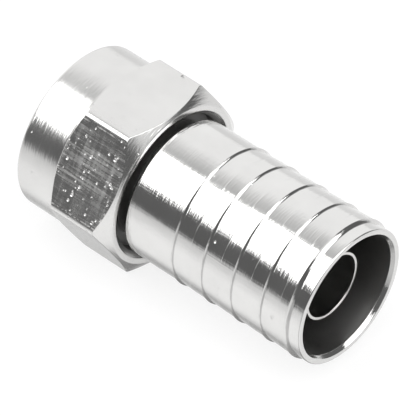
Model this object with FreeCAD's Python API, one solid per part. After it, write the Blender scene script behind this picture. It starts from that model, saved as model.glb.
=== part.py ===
"""Crimp-on coaxial cable plug with a loose hexagonal coupling nut.

Three turned pieces lie on one axis, which is X. The nut's open, threaded end points to -X and
the cable goes in at the sleeve's mouth, at +X. The origin is on the axis, in the front face of
the post's flange, against which the mating socket closes. A flat of the hexagon lies at the
bottom. All sizes are in millimetres.
"""
import FreeCAD, Part
import math
import os

# Coupling nut, outside
across_flats = 11.11
hex_edge_radius = 0.30
nut_length = 7.66
collar_diameter = 10.94
collar_length = 2.95
collar_edge_radius = 0.20
chamfer_run = 0.75  # along the axis for each millimetre of radius, on both hexagon chamfers
rear_face_diameter = 10.73

# Coupling nut, inside
thread_crest_diameter = 8.74
thread_lead_in = 0.45
relief_diameter = 9.70
relief_length = 1.10
lip_thickness = 0.80
counterbore_diameter = 9.30
counterbore_depth = 1.05
counterbore_bevel = 0.38

# Inner post
flange_diameter = 8.30
flange_thickness = 0.75
flange_edge = 0.12
shank_diameter = 6.00
press_diameter = 5.40
tube_diameter = 4.57
tube_wall = 0.20
tube_step_run = 0.40
post_recess = 1.33  # from the sleeve's mouth in to the end of the tube
tube_tip = 0.06

# Crimp sleeve
sleeve_diameter = 9.23
sleeve_length = 13.54
sleeve_bore_diameter = 8.00
front_edge_bevel = 0.08
neck_diameter = 7.90
hub_thickness = 2.00
mouth_diameter = 9.04
mouth_bevel_depth = 0.25
mouth_bevel_height = 0.17
mouth_edge_bevel = 0.10

# Rolled rings on the sleeve
first_crest = 3.70  # from the sleeve's front edge
crest_pitch = 2.29
pitched_rings = 4
end_land = 1.02  # from the last crest to the sleeve's mouth
crest_height = 0.07
crest_run = 0.04
groove_depth = 0.035  # below the plain land
step_run = 0.20
ramp_end = 1.25  # from a crest to where the next land starts

# Clearances
nut_end_play = 0.15  # on each side of the nut's lip
nut_bore_clearance = 0.10
nut_gap = 0.345  # from the nut's rear face to the sleeve's front edge


# Stations along the axis, from the flange's front face
flange_back = flange_thickness
lip_front = flange_back + nut_end_play
lip_back = lip_front + lip_thickness
nut_back = lip_back + counterbore_depth
nut_front = nut_back - nut_length
collar_end = nut_front + collar_length
neck_front = lip_back + nut_end_play
sleeve_front = nut_back + nut_gap
sleeve_mouth = sleeve_front + sleeve_length
hub_back = sleeve_front + hub_thickness
tube_end = sleeve_mouth - post_recess


centre = FreeCAD.Vector(0, 0, 0)
along = FreeCAD.Vector(1, 0, 0)


def section_point(x, r):
    """A point of a half section: x along the axis, r out from it."""
    return FreeCAD.Vector(x, 0, r)


def turned(points):
    """Turn a closed half section of straight runs about the X axis."""
    corners = [section_point(x, r) for x, r in points]
    face = Part.Face(Part.makePolygon(corners + corners[:1]))
    return face.revolve(centre, along, 360)


def round_edges(shape, radius, chosen):
    """Round the edges that a test picks out."""
    edges = [edge for edge in shape.Edges if chosen(edge)]
    return shape.makeFillet(radius, edges)


def is_circle_at(edge, x, diameter):
    """True for a full circle about the axis at a station."""
    if not isinstance(edge.Curve, Part.Circle):
        return False
    same_place = abs(edge.Curve.Center.x - x) < 1e-4
    return same_place and abs(edge.Curve.Radius - diameter / 2) < 1e-4


def hexagon_bar(start, end):
    """A hexagonal bar along X, a flat at the bottom, its six long edges rounded."""
    corner_radius = across_flats / 2 / math.cos(math.pi / 6)
    corners = []
    for index in range(6):
        angle = index * math.pi / 3
        y = corner_radius * math.cos(angle)
        z = corner_radius * math.sin(angle)
        corners.append(FreeCAD.Vector(start, y, z))
    face = Part.Face(Part.makePolygon(corners + corners[:1]))
    bar = face.extrude(along * (end - start))

    def runs_along(edge):
        return abs(edge.Vertexes[0].X - edge.Vertexes[1].X) > (end - start) / 2

    return round_edges(bar, hex_edge_radius, runs_along)


def make_nut():
    """Hexagon with both ends chamfered, a round collar in front and a lip inside."""
    collar_r = collar_diameter / 2
    rear_r = rear_face_diameter / 2
    hexagon_length = nut_back - collar_end
    meeting_r = (hexagon_length / chamfer_run + collar_r + rear_r) / 2  # where the two cones would meet
    bar = hexagon_bar(collar_end, nut_back)
    chamfers = turned([
        (collar_end, 0),
        (collar_end, collar_r),
        (collar_end + (meeting_r - collar_r) * chamfer_run, meeting_r),
        (nut_back, rear_r),
        (nut_back, 0),
    ])

    def is_front_rim(edge):
        return is_circle_at(edge, nut_front, collar_diameter)

    collar = Part.makeCylinder(collar_r, collar_length, along * nut_front, along)
    collar = round_edges(collar, collar_edge_radius, is_front_rim)
    outside = bar.common(chamfers).fuse(collar)

    thread_r = thread_crest_diameter / 2
    relief_r = relief_diameter / 2
    bore_r = shank_diameter / 2 + nut_bore_clearance
    counter_r = counterbore_diameter / 2
    relief_front = lip_front - relief_length
    inside = turned([
        (nut_front, 0),
        (nut_front, thread_r + thread_lead_in),
        (nut_front + thread_lead_in, thread_r),
        (relief_front, thread_r),
        (relief_front, relief_r),
        (lip_front, relief_r),
        (lip_front, bore_r),
        (lip_back, bore_r),
        (lip_back, counter_r),
        (nut_back - counterbore_bevel, counter_r),
        (nut_back, counter_r + counterbore_bevel),
        (nut_back, 0),
    ])
    return outside.cut(inside).removeSplitter()


def make_post():
    """Thin tube with a flange in front, a shank for the nut to turn on and a press-fit seat."""
    flange_r = flange_diameter / 2
    shank_r = shank_diameter / 2
    press_r = press_diameter / 2
    tube_r = tube_diameter / 2
    bore_r = tube_r - tube_wall
    return turned([
        (0, bore_r),
        (0, flange_r - flange_edge),
        (flange_edge, flange_r),
        (flange_back, flange_r),
        (flange_back, shank_r),
        (neck_front, shank_r),
        (neck_front, press_r),
        (hub_back, press_r),
        (hub_back + tube_step_run, tube_r),
        (tube_end - tube_tip, tube_r),
        (tube_end, tube_r - tube_tip),
        (tube_end, bore_r),
    ])


def ring_points(crest):
    """Outline of one rolled ring: sharply up to the crest, down the step and back up a long ramp."""
    land_r = sleeve_diameter / 2
    crest_r = land_r + crest_height
    groove_r = land_r - groove_depth
    return [
        (crest - crest_run, land_r),
        (crest, crest_r),
        (crest + step_run, groove_r),
        (crest + ramp_end, land_r),
    ]


def make_sleeve():
    """Thin-walled sleeve with a hub in front and five rolled rings outside."""
    land_r = sleeve_diameter / 2
    crest_r = land_r + crest_height
    bore_r = sleeve_bore_diameter / 2
    press_r = press_diameter / 2
    neck_r = neck_diameter / 2
    mouth_r = mouth_diameter / 2
    last_crest = sleeve_mouth - end_land

    outline = [
        (neck_front, press_r),
        (neck_front, neck_r),
        (sleeve_front, neck_r),
        (sleeve_front, land_r - front_edge_bevel),
        (sleeve_front + front_edge_bevel, land_r),
    ]
    for index in range(pitched_rings):
        outline += ring_points(sleeve_front + first_crest + index * crest_pitch)
    outline += [
        (last_crest - crest_run, land_r),
        (last_crest, crest_r),
        (last_crest + step_run, mouth_r),
        (sleeve_mouth - mouth_edge_bevel, mouth_r),
        (sleeve_mouth, mouth_r - mouth_edge_bevel),
        (sleeve_mouth, bore_r + mouth_bevel_height),
        (sleeve_mouth - mouth_bevel_depth, bore_r),
        (hub_back, bore_r),
        (hub_back, press_r),
    ]
    return turned(outline)


pieces = {
    "coupling_nut": make_nut(),
    "crimp_sleeve": make_sleeve(),
    "inner_post": make_post(),
}
os.makedirs("parts", exist_ok=True)
for name, shape in pieces.items():
    print(name, "valid", shape.isValid(), "solids", len(shape.Solids), "mm3", round(shape.Volume, 2))
    shape.exportStep("parts/" + name + ".step")
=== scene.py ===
import math

import bmesh
import bpy
from mathutils import Matrix, Vector


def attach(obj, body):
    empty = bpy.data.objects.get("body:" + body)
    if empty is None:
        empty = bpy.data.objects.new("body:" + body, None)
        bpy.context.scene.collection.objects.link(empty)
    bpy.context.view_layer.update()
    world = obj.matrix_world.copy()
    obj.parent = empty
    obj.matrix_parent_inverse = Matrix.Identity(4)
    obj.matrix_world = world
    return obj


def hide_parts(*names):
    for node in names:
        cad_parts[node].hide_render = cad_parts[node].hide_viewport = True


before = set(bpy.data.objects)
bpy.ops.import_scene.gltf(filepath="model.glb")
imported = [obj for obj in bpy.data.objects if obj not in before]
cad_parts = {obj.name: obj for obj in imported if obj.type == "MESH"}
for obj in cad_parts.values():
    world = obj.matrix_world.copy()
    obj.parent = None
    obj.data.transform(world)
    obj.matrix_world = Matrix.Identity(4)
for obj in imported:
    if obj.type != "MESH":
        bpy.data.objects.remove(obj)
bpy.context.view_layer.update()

MM = 0.001


# Coupling nut. The real one is turned from drawn hexagonal brass bar: a round collar in front, both ends
# of the hexagon chamfered, a right-hand 3/8-32 thread inside and a lip that holds it on the post.
# It is bright nickel plated, and turns freely, so it rides on its own body. Sizes are in millimetres.
across_flats = 11.11
hexagon_edge_radius = 0.42
hexagon_edge_softness = 0.03  # where the flats meet the chamfers
chamfer_run = 0.75  # along the axis for each millimetre of radius
nut_front = -4.91
nut_back = 2.75
collar_end = -1.96
collar_radius = 5.47
rear_face_radius = 5.365
counterbore_radius = 4.65
counterbore_bevel = 0.38
lip_front = 0.90
lip_back = 1.70
lip_bore_radius = 3.10
relief_front = -0.20
relief_radius = 4.85
thread_pitch = 0.79375
thread_crest_radius = 4.37
thread_root_radius = 4.77
thread_lead_in = 0.45
run_out_slope = 2.5
crest_share = 0.22  # of the pitch
flank_share = 0.291
root_share = 0.198


def soften(corners):
    """Round the corners of an outline. Each corner is x, radius and how far its rounding reaches."""
    steps = 4
    guard = 1.5  # in reaches from the corner, a point that keeps the straight part's shading flat
    path = []
    for index, (x, radius, reach) in enumerate(corners):
        here = Vector((x, radius))
        before = (Vector(corners[index - 1][:2]) - here).normalized()
        after = (Vector(corners[(index + 1) % len(corners)][:2]) - here).normalized()
        if reach == 0:
            path.append(here)
            continue
        enter = here + before * reach
        leave = here + after * reach
        path.append(here + before * reach * guard)
        for step in range(steps + 1):
            t = step / steps
            path.append(enter * (1 - t) ** 2 + here * 2 * t * (1 - t) + leave * t ** 2)
        path.append(here + after * reach * guard)
    return path


def row(point, reach=(0, 0, 0), role=(0, 0, 0), inside=0):
    """One point of an outline. Reach is how far it follows the hexagon, then its shift along and out.
    Role is its chamfer's side, then 1 on the thread, then 1 on a flat."""
    return {"point": point, "reach": reach, "role": role, "inside": inside}


def place(tree, kind, links=None, **settings):
    """A node with its settings, and its inputs linked or set by name or number."""
    node = tree.nodes.new(kind)
    for name, value in settings.items():
        setattr(node, name, value)
    for name, value in (links or {}).items():
        socket = node.inputs[name]
        if isinstance(value, bpy.types.NodeSocket):
            tree.links.new(value, socket)
        else:
            socket.default_value = value
    return node


def arithmetic(tree, operation, *values):
    """The output of a maths node. Each value is a number or another node's output."""
    return place(tree, "ShaderNodeMath", dict(enumerate(values)), operation=operation).outputs[0]


def lathe_tree():
    """Geometry Nodes that turn an outline about the X axis, with hexagon and thread rows where marked."""
    tree = bpy.data.node_groups.new("lathe", "GeometryNodeTree")
    tree.interface.new_socket("Outline", in_out="INPUT", socket_type="NodeSocketGeometry")
    for name in ("Steps Per Sector", "Gather", "Half Across Flats", "Edge Radius", "Chamfer Run",
                 "Pitch", "Thread Front", "Thread Back", "Lead In Radius", "Run Out Radius"):
        tree.interface.new_socket(name, in_out="INPUT", socket_type="NodeSocketFloat")
    tree.interface.new_socket("Finish", in_out="INPUT", socket_type="NodeSocketMaterial")
    tree.interface.new_socket("Piece", in_out="OUTPUT", socket_type="NodeSocketGeometry")
    given = tree.nodes.new("NodeGroupInput").outputs
    sector_angle = math.pi / 3

    def sums(operation, *values):
        return arithmetic(tree, operation, *values)

    # One grid vertex for each outline point and each step round the axis
    size = place(tree, "GeometryNodeAttributeDomainSize", {"Geometry": given["Outline"]}, component="MESH")
    columns = sums("ADD", sums("MULTIPLY", given["Steps Per Sector"], 6), 1)
    grid_size = {"Vertices X": size.outputs["Point Count"], "Vertices Y": columns}
    grid = place(tree, "GeometryNodeMeshGrid", grid_size)
    index = tree.nodes.new("GeometryNodeInputIndex").outputs[0]
    rank = sums("FLOOR", sums("DIVIDE", sums("ADD", index, 0.5), columns))
    column = sums("SUBTRACT", index, sums("MULTIPLY", rank, columns))

    def sampled(value):
        """The three parts of a value at this row's outline point."""
        node = place(tree, "GeometryNodeSampleIndex", data_type="FLOAT_VECTOR", domain="POINT")
        tree.links.new(given["Outline"], node.inputs["Geometry"])
        tree.links.new(value, node.inputs["Value"])
        tree.links.new(rank, node.inputs["Index"])
        return place(tree, "ShaderNodeSeparateXYZ", {"Vector": node.outputs["Value"]}).outputs

    def named(name):
        node = place(tree, "GeometryNodeInputNamedAttribute", {"Name": name}, data_type="FLOAT_VECTOR")
        return node.outputs["Attribute"]

    foot_x, foot_r, inside = sampled(tree.nodes.new("GeometryNodeInputPosition").outputs[0])
    follow, shift_x, shift_r = sampled(named("reach"))
    side, helix, flat = sampled(named("role"))

    # Angle: six sectors, with the steps gathered towards each sector's middle, where the corners are
    steps = given["Steps Per Sector"]
    half = sums("MULTIPLY", steps, 0.5)
    sector = sums("FLOOR", sums("DIVIDE", sums("ADD", column, half), steps))
    offset = sums("DIVIDE", sums("SUBTRACT", column, sums("MULTIPLY", sector, steps)), half)
    spread = sums("POWER", sums("ABSOLUTE", offset), given["Gather"])
    from_corner = sums("MULTIPLY", spread, sector_angle / 2)
    turn = sums("MULTIPLY", from_corner, sums("SIGN", offset))
    angle = sums("ADD", turn, sums("MULTIPLY", sector, sector_angle))

    # Radius of the hexagon in that direction: a flat, or the rounded long edge near the corner
    half_flats, edge = given["Half Across Flats"], given["Edge Radius"]
    from_middle = sums("SUBTRACT", sector_angle / 2, from_corner)
    flat_r = sums("DIVIDE", half_flats, sums("COSINE", from_middle))
    centre = sums("DIVIDE", sums("SUBTRACT", half_flats, edge), math.cos(sector_angle / 2))
    across = sums("MULTIPLY", centre, sums("SINE", from_corner))
    under_root = sums("SUBTRACT", sums("POWER", edge, 2), sums("POWER", across, 2))
    height = sums("SQRT", sums("MAXIMUM", under_root, 0))
    edge_r = sums("ADD", sums("MULTIPLY", centre, sums("COSINE", from_corner)), height)
    tangent = sums("ARCTAN2", sums("MULTIPLY", centre, 0.5), half_flats)
    on_edge = sums("LESS_THAN", from_corner, sums("SUBTRACT", sector_angle / 2, tangent))
    flat_part = sums("MULTIPLY", sums("SUBTRACT", 1, on_edge), flat_r)
    hexagon_r = sums("ADD", sums("MULTIPLY", on_edge, edge_r), flat_part)

    # A hexagon row goes from its foot on the chamfer towards the corner of the flat
    rise = sums("SUBTRACT", hexagon_r, foot_r)
    corner_x = sums("MULTIPLY", side, sums("MULTIPLY", given["Chamfer Run"], rise))
    plain_x = sums("MULTIPLY_ADD", follow, sums("ADD", corner_x, shift_x), foot_x)
    plain_r = sums("MULTIPLY_ADD", follow, sums("ADD", rise, shift_r), foot_r)

    # A thread row advances by one pitch a turn between the lead-in and the run-out
    front, end = given["Thread Front"], given["Thread Back"]
    advance = sums("MULTIPLY", given["Pitch"], sums("DIVIDE", angle, 2 * math.pi))
    thread_x = sums("MINIMUM", sums("MAXIMUM", sums("ADD", foot_x, advance), front), end)
    lead_in = sums("SUBTRACT", given["Lead In Radius"], sums("SUBTRACT", thread_x, front))
    fall = sums("MULTIPLY", run_out_slope, sums("SUBTRACT", end, thread_x))
    run_out = sums("SUBTRACT", given["Run Out Radius"], fall)
    thread_r = sums("MAXIMUM", foot_r, sums("MAXIMUM", lead_in, run_out))
    x = sums("ADD", plain_x, sums("MULTIPLY", helix, sums("SUBTRACT", thread_x, plain_x)))
    radius = sums("ADD", plain_r, sums("MULTIPLY", helix, sums("SUBTRACT", thread_r, plain_r)))

    y = sums("MULTIPLY", radius, sums("COSINE", angle))
    z = sums("MULTIPLY", radius, sums("SINE", angle))
    position = place(tree, "ShaderNodeCombineXYZ", {"X": x, "Y": y, "Z": z}).outputs[0]
    mesh = grid.outputs["Mesh"]
    for name, value in (("flat_face", flat), ("inside", inside)):
        store = place(tree, "GeometryNodeStoreNamedAttribute", {"Geometry": mesh, "Name": name},
                      data_type="FLOAT", domain="POINT")
        tree.links.new(value, store.inputs["Value"])
        mesh = store.outputs["Geometry"]
    mesh = place(tree, "GeometryNodeSetPosition", {"Geometry": mesh, "Position": position}).outputs[0]
    seam = {"Geometry": mesh, "Distance": 0.0015 * MM}
    mesh = place(tree, "GeometryNodeMergeByDistance", seam).outputs[0]
    mesh = place(tree, "GeometryNodeSetShadeSmooth", {"Geometry": mesh}).outputs[0]
    finish = {"Geometry": mesh, "Material": given["Finish"]}
    mesh = place(tree, "GeometryNodeSetMaterial", finish).outputs[0]
    place(tree, "NodeGroupOutput", {"Piece": mesh})
    return tree


def turn_piece(name, rows, finish, **sizes):
    """Turn rows into a closed plain mesh at the origin. Sizes are the lathe's named inputs."""
    outline = bpy.data.meshes.new(name + "_outline")
    outline.from_pydata([(r["point"][0] * MM, r["point"][1] * MM, r["inside"]) for r in rows], [], [])
    for key, scale in (("reach", (1, MM, MM)), ("role", (1, 1, 1))):
        values = outline.attributes.new(key, "FLOAT_VECTOR", "POINT").data
        for item, r in zip(values, rows):
            item.vector = [number * factor for number, factor in zip(r[key], scale)]
    piece = bpy.data.objects.new(name, outline)
    bpy.context.scene.collection.objects.link(piece)
    modifier = piece.modifiers.new("lathe", "NODES")
    modifier.node_group = lathe
    given = {"Steps Per Sector": 40, "Gather": 1.0, "Finish": finish, **sizes}
    for socket in lathe.interface.items_tree:
        if socket.name in given:
            modifier[socket.identifier] = given[socket.name]
    seen = bpy.context.evaluated_depsgraph_get()
    mesh = bpy.data.meshes.new_from_object(piece.evaluated_get(seen))
    piece.modifiers.clear()
    piece.data = mesh
    work = bmesh.new()
    work.from_mesh(mesh)
    bmesh.ops.recalc_face_normals(work, faces=work.faces)
    work.to_mesh(mesh)
    work.free()
    return piece


def hexagon_rows():
    """Rows from the front chamfer's foot over the flats to the rear chamfer's foot."""
    soft = hexagon_edge_softness
    slope = Vector((chamfer_run, 1)).normalized()
    steps = 4
    chamfer_shares = (0.05, 0.35, 0.7, 1)  # of the way up the chamfer
    chamfer_guard, flat_guard = soft * 1.6, soft * 1.8  # points that keep the shading flat, as in soften
    rows = []
    for foot, side in (((collar_end, collar_radius), 1), ((nut_back, rear_face_radius), -1)):
        down = Vector((-side * slope.x, -slope.y))
        level = Vector((side, 0))
        end = [row(foot, (share, *(down * chamfer_guard)), (side, 0, 0)) for share in chamfer_shares]
        for step in range(steps + 1):
            t = step / steps
            bend = down * soft * (1 - t) ** 2 + level * soft * t ** 2
            end.append(row(foot, (1, *bend), (side, 0, t)))
        end.append(row(foot, (1, *(level * flat_guard)), (side, 0, 1)))
        rows += end if side == 1 else end[::-1]
    return rows


def thread_rows():
    """Rows of the thread from its run-out to the nut's face, one pitch more than it is long."""
    flank_end = crest_share + flank_share
    corners = [(0.0, 0), (crest_share, 0), (flank_end, 1), (flank_end + root_share, 1)]
    near, far = 0.012, 0.03  # points on both sides of each corner, as shares of the pitch
    rounding = near / flank_share * 0.4
    rows = []
    start = nut_front - thread_pitch
    turns = math.ceil((relief_front - start) / thread_pitch)
    for turn in range(turns):
        for index, (share, depth) in enumerate(corners):
            before, after = corners[index - 1][1], corners[(index + 1) % len(corners)][1]
            for part in (-far, -near, near, far):
                change = ((after if part > 0 else before) - depth) * abs(part) / flank_share
                if abs(part) == near:
                    change += -rounding if depth else rounding
                radius = thread_crest_radius + (depth + change) * (thread_root_radius - thread_crest_radius)
                x = start + (turn + share + part) * thread_pitch
                rows.append(row((x, radius), role=(0, 1, 0), inside=1))
    return rows[::-1]


def stretched_noise(tree, where, ways, detail=2.0):
    """Noise that is finer in some directions than in others, in features a metre along X, Y and Z."""
    moved = place(tree, "ShaderNodeVectorMath", {0: where, 1: ways}, operation="MULTIPLY").outputs[0]
    return place(tree, "ShaderNodeTexNoise", {"Vector": moved, "Scale": 1.0, "Detail": detail}).outputs[0]


def ramp(tree, value, start, end):
    """0 below start, 1 above end and even in between."""
    links = {"Value": value, "From Min": start, "From Max": end}
    return place(tree, "ShaderNodeMapRange", links).outputs["Result"]


def shader_group(name, inputs, outputs):
    """An empty shader node group with its named sockets."""
    tree = bpy.data.node_groups.new(name, "ShaderNodeTree")
    for direction, sockets in (("INPUT", inputs), ("OUTPUT", outputs)):
        for socket, kind in sockets.items():
            tree.interface.new_socket(socket, in_out=direction, socket_type="NodeSocket" + kind)
    return tree, tree.nodes.new("NodeGroupInput").outputs


def turning_marks_group():
    """Fine uneven rings round the X axis, in millimetres of height, and a soft cloudiness."""
    tree, given = shader_group("turning_marks", {"Place": "Vector"}, {"Height": "Float", "Cloud": "Float"})
    fine_height, wide_height = 0.0125, 0.0035
    fine = stretched_noise(tree, given["Place"], (11000, 1300, 1300))
    wide = stretched_noise(tree, given["Place"], (3500, 250, 250))
    height = arithmetic(tree, "MULTIPLY", wide, wide_height)
    height = arithmetic(tree, "MULTIPLY_ADD", fine, fine_height, height)
    cloud = stretched_noise(tree, given["Place"], (450, 450, 450), 4.0)
    place(tree, "NodeGroupOutput", {"Height": height, "Cloud": ramp(tree, cloud, 0.3, 0.7)})
    return tree


def drawn_lines_group():
    """Lines along the X axis from drawing the bar, in millimetres of height, and where they are dull."""
    tree, given = shader_group("drawn_lines", {"Place": "Vector"}, {"Height": "Float", "Dull": "Float"})
    fine_height, wide_height = 0.0060, 0.0120
    fine = stretched_noise(tree, given["Place"], (500, 9000, 9000))
    wide = stretched_noise(tree, given["Place"], (160, 1500, 1500), 1.0)
    height = arithmetic(tree, "MULTIPLY", wide, wide_height)
    height = arithmetic(tree, "MULTIPLY_ADD", fine, fine_height, height)
    streaks = ramp(tree, fine, 0.38, 0.70)
    bands = ramp(tree, wide, 0.10, 0.66)
    across = ramp(tree, stretched_noise(tree, given["Place"], (3600, 420, 420)), 0.42, 0.70)
    dull = arithmetic(tree, "MULTIPLY_ADD", streaks, bands, arithmetic(tree, "MULTIPLY", across, 0.5))
    place(tree, "NodeGroupOutput", {"Height": height, "Dull": dull})
    return tree


def dents_group():
    """Scattered small dents from tumbling in the plating barrel, in millimetres of height."""
    tree, given = shader_group("dents", {"Place": "Vector", "Share": "Float"}, {"Height": "Float"})
    wall_slope = 0.42
    least_reach, more_reach = 0.08, 0.13  # in cells
    lowest = 0
    for cells_a_metre in (1300.0, 1900.0, 2700.0):
        cells = place(tree, "ShaderNodeTexVoronoi", {"Vector": given["Place"], "Scale": cells_a_metre})
        own = place(tree, "ShaderNodeSeparateColor", {"Color": cells.outputs["Color"]}).outputs
        reach = arithmetic(tree, "MULTIPLY_ADD", own[1], more_reach, least_reach)
        bowl = arithmetic(tree, "MAXIMUM", arithmetic(tree, "SUBTRACT", reach, cells.outputs["Distance"]), 0)
        chosen = arithmetic(tree, "LESS_THAN", own[0], given["Share"])
        depth = arithmetic(tree, "MULTIPLY", chosen, -wall_slope / MM / cells_a_metre)
        lowest = arithmetic(tree, "MINIMUM", lowest, arithmetic(tree, "MULTIPLY", bowl, depth))
    place(tree, "NodeGroupOutput", {"Height": lowest})
    return tree


def rubbed_edges_group():
    """Where the hexagon is rubbed: a broken line just inside each long edge, and how much each side is."""
    tree, given = shader_group("rubbed_edges", {"Place": "Vector"}, {"Rubbed": "Float", "Side": "Float"})
    worn_side = math.radians(150)
    least_wear = 0.05
    line_offset = 0.050  # in radians from the hexagon's corner
    parts = place(tree, "ShaderNodeSeparateXYZ", {"Vector": given["Place"]}).outputs
    angle = arithmetic(tree, "ARCTAN2", parts["Z"], parts["Y"])
    offset = arithmetic(tree, "PINGPONG", angle, math.pi / 6)
    off_line = arithmetic(tree, "ABSOLUTE", arithmetic(tree, "SUBTRACT", offset, line_offset))
    line = arithmetic(tree, "SUBTRACT", 1, ramp(tree, off_line, 0.003, 0.010))
    broken = ramp(tree, stretched_noise(tree, given["Place"], (4200, 2600, 2600), 3.0), 0.42, 0.58)
    facing = arithmetic(tree, "COSINE", arithmetic(tree, "SUBTRACT", angle, worn_side))
    focus = arithmetic(tree, "POWER", arithmetic(tree, "MAXIMUM", facing, 0), 6)
    side = arithmetic(tree, "MULTIPLY_ADD", focus, 1 - least_wear, least_wear)
    place(tree, "NodeGroupOutput", {"Rubbed": arithmetic(tree, "MULTIPLY", line, broken), "Side": side})
    return tree


def plated(name, base, rough, ring_marks, line_marks, flat_dents, turned_dents, inside_painted_shade, inside_rough):
    """Bright nickel plate: turning marks on turned faces, drawn lines and dents on flats, dull and rougher
    inside, where the colour is also darkened as painted shade.
    """
    material = bpy.data.materials.new(name)
    material.use_nodes = True
    tree = material.node_tree
    shader = tree.nodes["Principled BSDF"]
    shader.inputs["Metallic"].default_value = 1.0
    where = tree.nodes.new("ShaderNodeTexCoord").outputs["Object"]
    flat = place(tree, "ShaderNodeAttribute", attribute_name="flat_face").outputs["Fac"]
    inside = place(tree, "ShaderNodeAttribute", attribute_name="inside").outputs["Fac"]
    rings = place(tree, "ShaderNodeGroup", {"Place": where}, node_tree=turning_marks).outputs
    lines = place(tree, "ShaderNodeGroup", {"Place": where}, node_tree=drawn_lines).outputs
    rubbed = place(tree, "ShaderNodeGroup", {"Place": where}, node_tree=rubbed_edges).outputs
    worn = arithmetic(tree, "MULTIPLY", flat, rubbed["Side"])
    share = arithmetic(tree, "MULTIPLY_ADD", worn, flat_dents - turned_dents, turned_dents)
    pits = place(tree, "ShaderNodeGroup", {"Place": where, "Share": share}, node_tree=dents).outputs[0]

    ring_share = arithmetic(tree, "MULTIPLY_ADD", flat, -ring_marks, ring_marks)
    line_share = arithmetic(tree, "MULTIPLY_ADD", worn, 1 - line_marks, line_marks)
    height = arithmetic(tree, "MULTIPLY_ADD", lines["Height"], line_share, pits)
    height = arithmetic(tree, "MULTIPLY_ADD", rings["Height"], ring_share, height)
    bump = place(tree, "ShaderNodeBump", {"Height": height, "Distance": MM, "Strength": 1.0})
    tree.links.new(bump.outputs["Normal"], shader.inputs["Normal"])

    # Inside faces get a darker colour by the given level: painted shade in the bores, the thread and the gap
    # between the parts
    low, high, painted_shade_colour = ([min(part * level, 1) for part in base] + [1] for level in (0.95, 1.02, inside_painted_shade))
    cloudy = {"Factor": rings["Cloud"], 6: low, 7: high}  # 6 and 7 are the node's colours
    tint = place(tree, "ShaderNodeMix", cloudy, data_type="RGBA").outputs[2]
    colour = place(tree, "ShaderNodeMix", {"Factor": inside, 6: tint, 7: painted_shade_colour}, data_type="RGBA").outputs[2]
    tree.links.new(colour, shader.inputs["Base Color"])

    dull_lines = arithmetic(tree, "MULTIPLY", lines["Dull"], 0.24)
    dull_edges = arithmetic(tree, "MULTIPLY", rubbed["Rubbed"], 0.60)
    dull = arithmetic(tree, "MAXIMUM", dull_lines, dull_edges)
    roughness = arithmetic(tree, "MULTIPLY_ADD", rings["Cloud"], 0.04, rough)
    roughness = arithmetic(tree, "MULTIPLY_ADD", worn, dull, roughness)
    roughness = arithmetic(tree, "MULTIPLY_ADD", inside, inside_rough, roughness)
    tree.links.new(roughness, shader.inputs["Roughness"])
    return material


lathe = lathe_tree()
turning_marks = turning_marks_group()
drawn_lines = drawn_lines_group()
dents = dents_group()
rubbed_edges = rubbed_edges_group()

# Corners with no reach stay sharp, or are points that keep the faces beside them flat
outside = soften([
    (nut_front, thread_crest_radius + thread_lead_in, 0),
    (nut_front, collar_radius, 0.16),
    (collar_end - 0.05, collar_radius, 0),
    (collar_end - 0.02, collar_radius, 0),
])
inner = soften([
    (nut_back, rear_face_radius - 0.02, 0),
    (nut_back, counterbore_radius + counterbore_bevel, 0.03),
    (nut_back - counterbore_bevel, counterbore_radius, 0.03),
    (lip_back, counterbore_radius, 0.05),
    (lip_back, lip_bore_radius, 0.05),
    (lip_front, lip_bore_radius, 0.05),
    (lip_front, relief_radius, 0.05),
    (relief_front, relief_radius, 0),
])
nut_rows = [row(point) for point in outside] + hexagon_rows()
# The inside share grows over the counterbore's bevel, so the painted shade deepens into the recess and the
# bore
nut_rows += [row(point, inside=min(1, max(0, (nut_back - point[0]) / counterbore_bevel))) for point in inner]
nut_rows += thread_rows() + [row(outside[0])]

nut_nickel = plated(
    "nut_nickel", base=(0.82, 0.815, 0.805), rough=0.15, ring_marks=1.0, line_marks=0.0,
    flat_dents=0.95, turned_dents=0.03, inside_painted_shade=0.38, inside_rough=0.40)
nut = turn_piece("plated_nut", nut_rows, nut_nickel, **{
    "Gather": 2.2,
    "Half Across Flats": across_flats / 2 * MM,
    "Edge Radius": hexagon_edge_radius * MM,
    "Chamfer Run": chamfer_run,
    "Pitch": thread_pitch * MM,
    "Thread Front": nut_front * MM,
    "Thread Back": relief_front * MM,
    "Lead In Radius": (thread_crest_radius + thread_lead_in) * MM,
    "Run Out Radius": relief_radius * MM,
})
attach(nut, "nut")
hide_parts("coupling_nut")


# Crimp sleeve. A thin-walled brass sleeve with a hub inside its front end, turned, with five saw-tooth
# rings rolled into its outside, and bright nickel plated. The hub is pressed on the post.
sleeve_front = 3.095
sleeve_mouth = 16.635
sleeve_radius = 4.615
sleeve_bore_radius = 4.00
neck_front = 1.85
neck_radius = 3.95
hub_back = 5.095
press_radius = 2.70
mouth_radius = 4.52
mouth_bevel_depth = 0.25
mouth_bevel_height = 0.17
mouth_land_hollow = 0.03
first_crest = 3.70  # from the sleeve's front edge
crest_pitch = 2.29
crest_height = 0.07
crest_run = 0.04
pitched_rings = 4
end_land = 1.02


def crest_corners(crest):
    """Corners of a ring's land and its sharp crest."""
    return [(crest - crest_run, sleeve_radius, 0.01), (crest, sleeve_radius + crest_height, 0.006)]


def ring_corners(crest):
    """Corners of one rolled ring: crest, steep step, foot, long ramp and the fine seam line that ends it."""
    return crest_corners(crest) + [
        (crest + 0.045, sleeve_radius + 0.018, 0.015),
        (crest + 0.082, sleeve_radius - 0.015, 0.015),
        (crest + 0.145, sleeve_radius - 0.041, 0.027),
        (crest + 1.24, sleeve_radius - 0.006, 0.01),
        (crest + 1.27, sleeve_radius + 0.003, 0.01),
        (crest + 1.33, sleeve_radius, 0.02),
    ]


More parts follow.
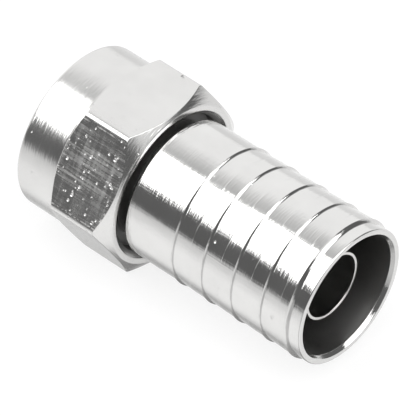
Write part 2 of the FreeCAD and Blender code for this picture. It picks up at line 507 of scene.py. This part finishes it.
sleeve_corners = [
    (sleeve_front, neck_radius, 0.04),
    (sleeve_front, sleeve_radius, 0.06),
]
for number in range(pitched_rings):
    sleeve_corners += ring_corners(sleeve_front + first_crest + number * crest_pitch)
last_crest = sleeve_mouth - end_land
sleeve_corners += crest_corners(last_crest) + [
    (last_crest + 0.045, sleeve_radius + 0.012, 0.015),
    (last_crest + 0.09, sleeve_radius - 0.035, 0.015),
    (last_crest + 0.22, mouth_radius - mouth_land_hollow, 0.05),
    (sleeve_mouth, mouth_radius, 0.10),
]
outer_count = len(soften(sleeve_corners))
sleeve_corners += [
    (sleeve_mouth, sleeve_bore_radius + mouth_bevel_height, 0.03),
    (sleeve_mouth - mouth_bevel_depth, sleeve_bore_radius, 0.03),
    (hub_back, sleeve_bore_radius, 0.10),
    (hub_back, press_radius, 0.02),
    (neck_front, press_radius, 0.02),
    (neck_front, neck_radius, 0.04),
]
sleeve_path = soften(sleeve_corners)
bore_start = outer_count + 10  # the middle of the rounding between the mouth's bevel and the bore
# Bore faces count as inside: rougher, and darkened with painted shade
sleeve_rows = [row(point, inside=float(index >= bore_start)) for index, point in enumerate(sleeve_path)]
sleeve_rows.append(row(sleeve_path[0], inside=1.0))

sleeve_nickel = plated(
    "sleeve_nickel", base=(0.83, 0.825, 0.815), rough=0.08, ring_marks=0.8, line_marks=0.60,
    flat_dents=0.0, turned_dents=0.03, inside_painted_shade=0.60, inside_rough=0.25)
sleeve = turn_piece("plated_sleeve", sleeve_rows, sleeve_nickel)
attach(sleeve, "sleeve_and_post")
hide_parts("crimp_sleeve")


# Inner post. A thin brass tube with a flange in front that the socket closes on, a shank for the nut to
# turn on and a seat pressed into the sleeve's hub, turned in one piece and nickel plated.
flange_radius = 4.15
flange_back = 0.75
shank_radius = 3.00
tube_radius = 2.285
tube_bore_radius = 2.085
tube_step_run = 0.40
tube_end = 15.305

post_corners = [
    (0.0, flange_radius, 0.10),
    (flange_back, flange_radius, 0.03),
    (flange_back, shank_radius, 0.05),
    (neck_front, shank_radius, 0.03),
    (neck_front, press_radius, 0.03),
    (hub_back, press_radius, 0.05),
    (hub_back + tube_step_run, tube_radius, 0.08),
    (tube_end, tube_radius, 0.05),
    (tube_end, tube_bore_radius, 0.05),
    (0.0, tube_bore_radius, 0.05),
]
post_path = soften(post_corners)
bore_index = len(soften(post_corners[:-1]))
# Bore faces count as inside: rougher, and darkened with painted shade
post_rows = [row(point, inside=float(index >= bore_index)) for index, point in enumerate(post_path)]
post_rows.append(row(post_path[0]))

post_nickel = plated(
    "post_nickel", base=(0.80, 0.79, 0.78), rough=0.12, ring_marks=0.4, line_marks=0.0,
    flat_dents=0.0, turned_dents=0.0, inside_painted_shade=0.60, inside_rough=0.25)
post = turn_piece("plated_post", post_rows, post_nickel)
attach(post, "sleeve_and_post")
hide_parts("inner_post")


# Floor. A plain pale table, white to the camera, that keeps the soft shadow. Polished metal sees its
# near part, and further out the studio's light and dark sides, which the world below holds.
floor_height = -across_flats / 2 * MM
floor_reach = 1.5
under_part = (7 * MM, 0, floor_height)
far_open, near_open = 1.0, 0.75  # how much of the studio a reflection shows in the table's place
shown_white = 0.8
floor_mesh = bpy.data.meshes.new("floor")
corners = [(x * floor_reach, y * floor_reach, floor_height) for x, y in ((-1, -1), (1, -1), (1, 1), (-1, 1))]
floor_mesh.from_pydata(corners, [], [(0, 1, 2, 3)])
floor = bpy.data.objects.new("floor", floor_mesh)
bpy.context.scene.collection.objects.link(floor)


def between(tree, value, start, end):
    """0 below start, 1 above end and a smooth step in between."""
    links = {"Value": value, "From Min": start, "From Max": end}
    return place(tree, "ShaderNodeMapRange", links, interpolation_type="SMOOTHSTEP").outputs["Result"]


floor_paint = bpy.data.materials.new("floor_paint")
floor_paint.use_nodes = True
paint = floor_paint.node_tree
paint.nodes.clear()
rays = paint.nodes.new("ShaderNodeLightPath").outputs
spot = paint.nodes.new("ShaderNodeTexCoord").outputs["Object"]
apart = place(paint, "ShaderNodeVectorMath", {0: spot, 1: under_part}, operation="DISTANCE").outputs["Value"]
diffuse = place(paint, "ShaderNodeBsdfDiffuse", {"Color": (0.9, 0.9, 0.9, 1)})
glow = place(paint, "ShaderNodeEmission", {"Color": (1, 1, 1, 1), "Strength": 1.03})
through = place(paint, "ShaderNodeBsdfTransparent")
distant = between(paint, apart, 10 * MM, 30 * MM)
open_share = arithmetic(paint, "MULTIPLY_ADD", distant, far_open - near_open, near_open)
open_share = arithmetic(paint, "MULTIPLY", open_share, rays["Is Glossy Ray"])
table = place(paint, "ShaderNodeMixShader", {0: open_share, 1: diffuse.outputs[0], 2: through.outputs[0]})
seen_white = arithmetic(paint, "MULTIPLY", rays["Is Camera Ray"], shown_white)
surface = place(paint, "ShaderNodeMixShader", {0: seen_white, 1: table.outputs[0], 2: glow.outputs[0]})
place(paint, "ShaderNodeOutputMaterial", {"Surface": surface.outputs[0]})
floor_mesh.materials.append(floor_paint)


# Studio light. A long softbox hangs overhead, a white wall stands behind, seen from the camera, a
# narrow panel stands at the right rear, and the rest is dark. The table is lit, but falls off to the
# left front. Directions are taken across and away from the camera, and heights from the horizon.
azimuth = math.radians(40.70)
softbox_light = 2.4
panel_light = 0.78
unlit = 0.12
world = bpy.data.worlds.new("studio")
bpy.context.scene.world = world
world.use_nodes = True
sky = world.node_tree
sky.nodes.clear()
way = sky.nodes.new("ShaderNodeTexCoord").outputs["Generated"]
rightward = (math.cos(azimuth), math.sin(azimuth), 0)
away = (-math.sin(azimuth), math.cos(azimuth), 0)
right_part, away_part = (
    place(sky, "ShaderNodeVectorMath", {0: way, 1: side}, operation="DOT_PRODUCT").outputs["Value"]
    for side in (rightward, away))
up_part = place(sky, "ShaderNodeSeparateXYZ", {0: way}).outputs["Z"]
above = arithmetic(sky, "MAXIMUM", up_part, 0.001)
below = arithmetic(sky, "MULTIPLY", up_part, -1)
across_slope = arithmetic(sky, "DIVIDE", right_part, above)
away_slope = arithmetic(sky, "DIVIDE", away_part, above)
heading = arithmetic(sky, "ARCTAN2", right_part, away_part)


def over(light, share, level):
    """A light level laid over another by a share."""
    return arithmetic(sky, "MULTIPLY_ADD", share, arithmetic(sky, "SUBTRACT", level, light), light)


def window(value, start, start_full, end_full, end):
    """1 between two soft edges and 0 outside them."""
    rise, fall = between(sky, value, start, start_full), between(sky, value, end_full, end)
    return arithmetic(sky, "MULTIPLY", rise, arithmetic(sky, "SUBTRACT", 1, fall))


def headings(*angles):
    """1 between two soft edges given as headings in degrees, clockwise from straight away."""
    return window(heading, *(math.radians(angle) for angle in angles))


# The softbox has a slanted left end and a far edge that bends back on the left. Its edges are slopes,
# which say how far across or away they lie for each metre up.
bend_start, far_bend, left_slant = -0.2, 0.6, -0.228
bent = arithmetic(sky, "MINIMUM", across_slope, bend_start)
far_side = arithmetic(sky, "MULTIPLY_ADD", bent, far_bend, away_slope)
left_end = arithmetic(sky, "MULTIPLY_ADD", away_slope, left_slant, across_slope)
softbox = arithmetic(sky, "SUBTRACT", 1, between(sky, far_side, 0.0, 0.045))
softbox = arithmetic(sky, "MULTIPLY", softbox, window(left_end, -1.96, -1.44, 2.0, 2.4))
softbox = arithmetic(sky, "MULTIPLY", softbox, between(sky, away_slope, -1.35, -0.95))
wall_light = over(0.53, between(sky, away_slope, 0.3, 0.95), 0.98)
upper = over(unlit, headings(-100, -75, 18, 55), wall_light)
panel = arithmetic(sky, "MULTIPLY", headings(96, 106, 127, 134), window(up_part, 0.03, 0.12, 0.5, 0.6))
upper = over(upper, panel, panel_light)
upper = over(upper, softbox, softbox_light)

# The table is brighter the further down one looks, and differs behind, at the right and in front. Straight
# down, and steeply down behind, it turns dark: a painted shadow of the part on the table, seen in its
# reflections.
lower = over(unlit, ramp(sky, below, 0.03, 0.18), 0.72)
lower = arithmetic(sky, "MULTIPLY_ADD", ramp(sky, below, 0.18, 0.50), 0.19, lower)
rear_table = over(over(0.76, ramp(sky, below, 0.1, 0.5), 0.88), between(sky, below, 0.70, 1.0), 0.2)
right_table = over(0.32, ramp(sky, below, 0.0, 0.17), 0.82)
front_table = over(0.32, ramp(sky, below, 0.0, 0.1), 0.48)
in_front = arithmetic(sky, "SUBTRACT", 1, headings(-150, -116, 162, 175))
lower = over(lower, headings(-70, -40, 30, 60), rear_table)
lower = over(lower, headings(20, 50, 85, 110), right_table)
lower = over(lower, in_front, front_table)
# Straight down the table is unlit: painted shadow of the part under it
lower = over(lower, between(sky, below, 0.83, 0.985), unlit)
light = over(upper, ramp(sky, below, -0.01, 0.01), lower)

rays = sky.nodes.new("ShaderNodeLightPath").outputs
lit = place(sky, "ShaderNodeBackground", {"Color": (1, 1, 1, 1), "Strength": light})
white = place(sky, "ShaderNodeBackground", {"Color": (1, 1, 1, 1), "Strength": 1.0})
mixed = place(sky, "ShaderNodeMixShader", {0: rays["Is Camera Ray"], 1: lit.outputs[0], 2: white.outputs[0]})
place(sky, "ShaderNodeOutputWorld", {"Surface": mixed.outputs[0]})


# Camera, at the photograph's viewing angle with a long lens.
elevation = math.radians(44.29)
roll = math.radians(-1.43)
distance = 291.4
pixels_a_millimetre = 16.818  # at the aim
picture_width = 416
sensor_width = 36
aim = Vector((5.7 * MM, 0, 0))
level = Vector((math.cos(azimuth), math.sin(azimuth), 0))
back = Vector(away) * -math.cos(elevation) + Vector((0, 0, math.sin(elevation)))
down = (-back).cross(level)
right = level * math.cos(roll) + down * math.sin(roll)
up = level * math.sin(roll) - down * math.cos(roll)
lens = bpy.data.cameras.new("camera")
lens.sensor_width = sensor_width
lens.lens = pixels_a_millimetre * distance / picture_width * sensor_width
lens.shift_x = -1.785 / picture_width
lens.shift_y = 0.526 / picture_width
lens.clip_start = 0.01
camera = bpy.data.objects.new("camera", lens)
bpy.context.scene.collection.objects.link(camera)
turned = Matrix((right, up, back)).transposed().to_4x4()
camera.matrix_world = Matrix.Translation(aim + back * distance * MM) @ turned
bpy.context.scene.camera = camera
bpy.context.scene.view_settings.view_transform = "Standard"
